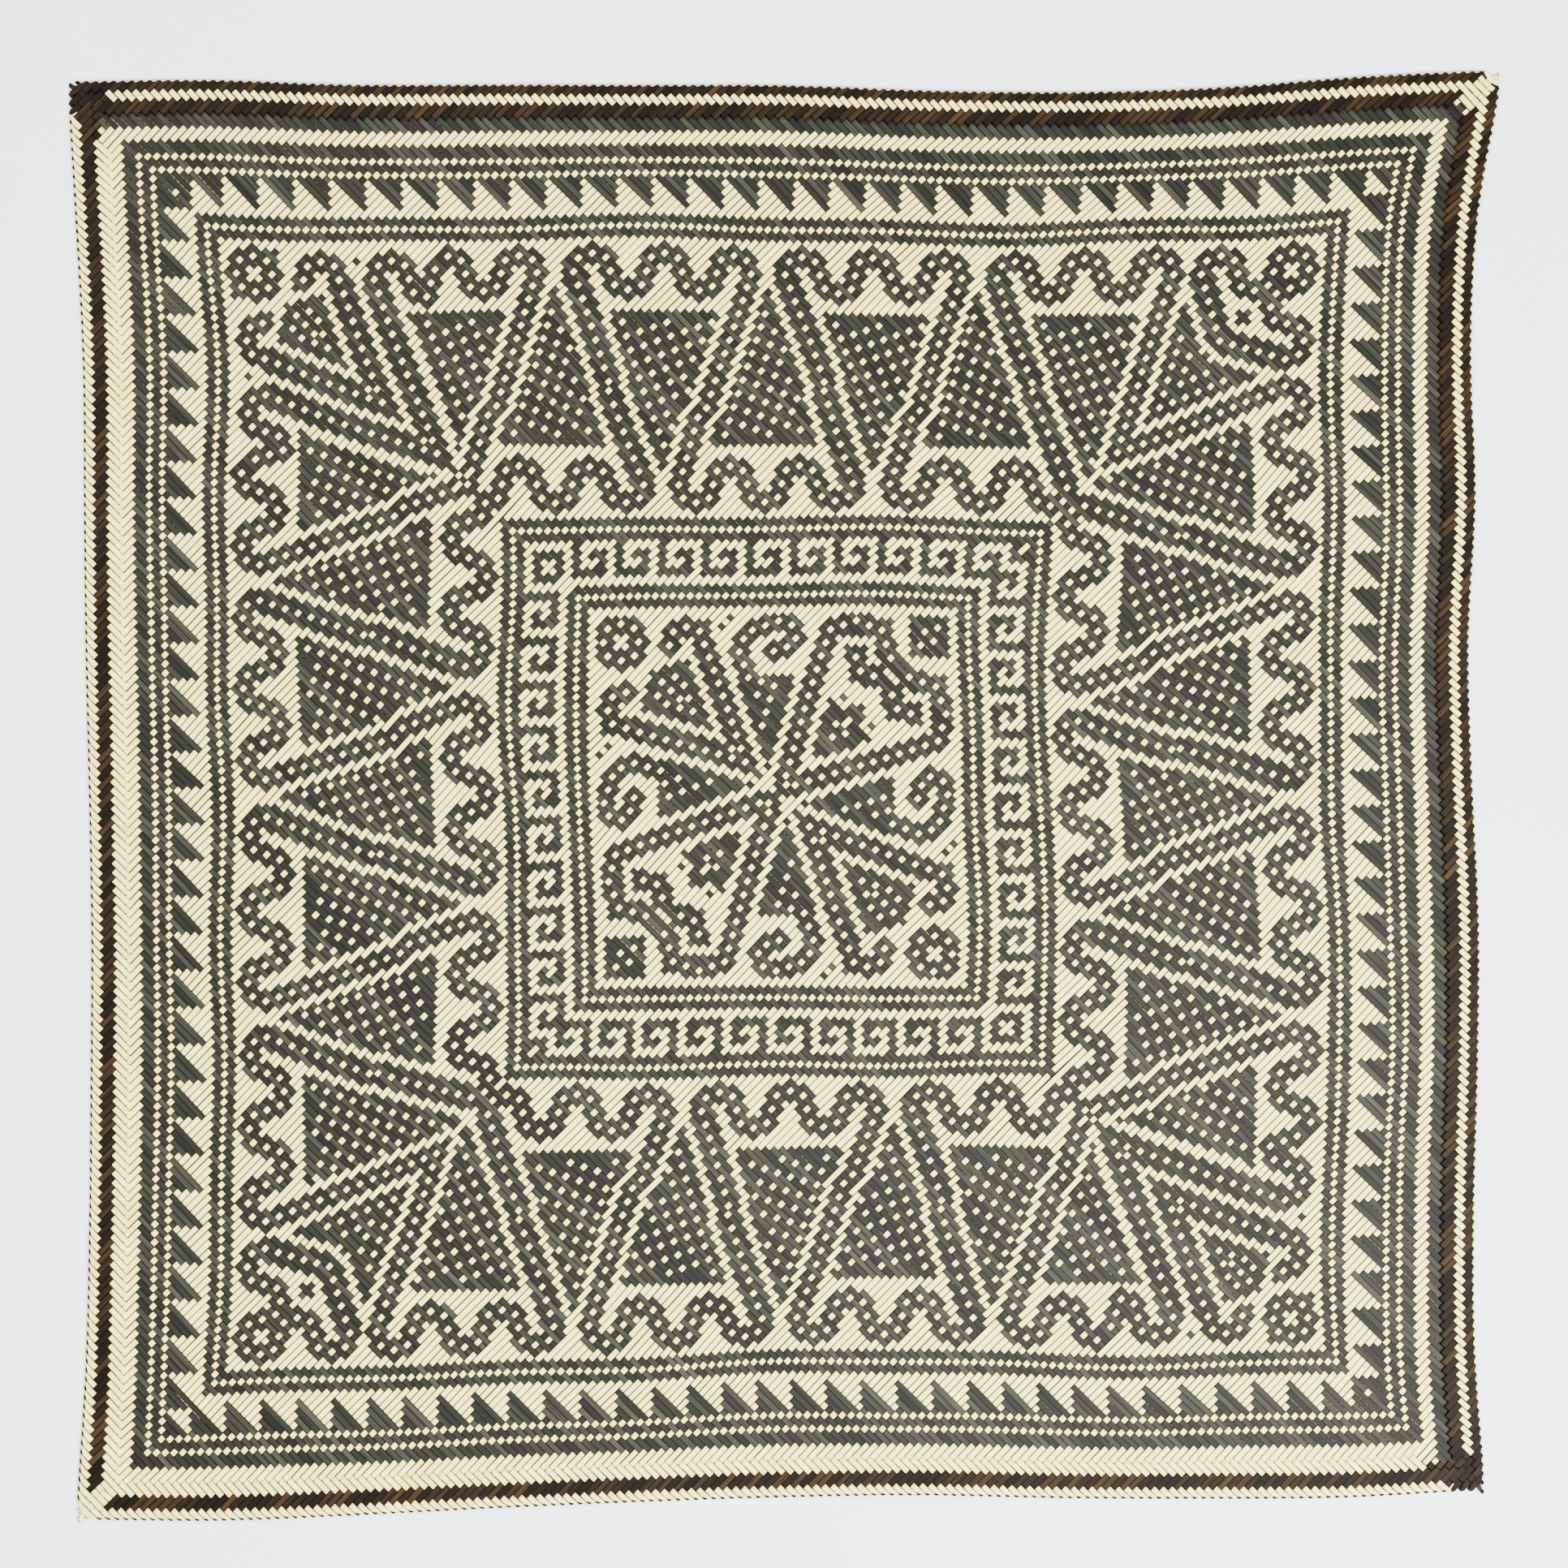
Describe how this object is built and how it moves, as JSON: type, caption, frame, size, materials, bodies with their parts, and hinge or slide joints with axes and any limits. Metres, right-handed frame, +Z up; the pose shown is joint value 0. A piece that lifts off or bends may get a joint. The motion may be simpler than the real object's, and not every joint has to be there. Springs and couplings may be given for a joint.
{
  "type": "rattan table mat",
  "caption": "Square flat table mat of split rattan plaited on the diagonal in dark and pale strands, with a raised plaited self-edge, for laying under dishes.",
  "frame": {"origin": "middle of the mat's box, on the flat underside", "axes": "+Z up out of the patterned face, +Y towards the far edge, +X to the right"},
  "size_m": [0.6168, 0.6232, 0.0028],
  "materials": {
    "split_rattan": "split rattan, half of it dyed dark and half natural, with a low natural gloss"
  },
  "bodies": {
    "root": {"plaited_mat": "split_rattan"}
  },
  "joints": []
}
